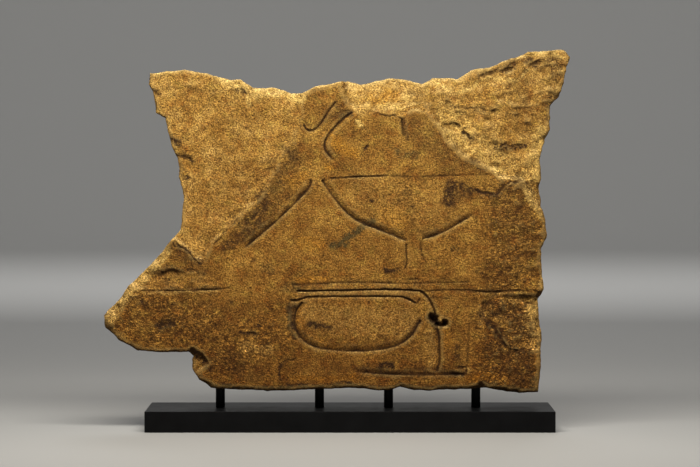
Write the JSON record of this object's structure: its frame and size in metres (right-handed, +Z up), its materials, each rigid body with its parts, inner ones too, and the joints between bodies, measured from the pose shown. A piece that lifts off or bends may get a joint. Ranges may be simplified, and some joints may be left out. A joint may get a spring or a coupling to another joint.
{
  "type": "stone relief fragment on a display stand",
  "caption": "Broken slab of ochre sandstone carved in sunk relief with a footed bowl and a ground line, held upright on round steel rods over a flat black base.",
  "frame": {"origin": "centre of the base's underside, where the part stands", "axes": "+X to the viewer's right along the base, +Y away from the carved face, +Z up"},
  "size_m": [0.554, 0.11, 0.4521],
  "materials": {
    "sandstone": "rough broken sandstone with brown and ochre patina",
    "black_lacquer": "satin black lacquer",
    "black_steel": "satin black paint on steel rod"
  },
  "bodies": {
    "root": {"carved_slab": "sandstone", "base": "black_lacquer", "rod_1": "black_steel", "rod_2": "black_steel", "rod_3": "black_steel", "rod_4": "black_steel"}
  },
  "joints": []
}
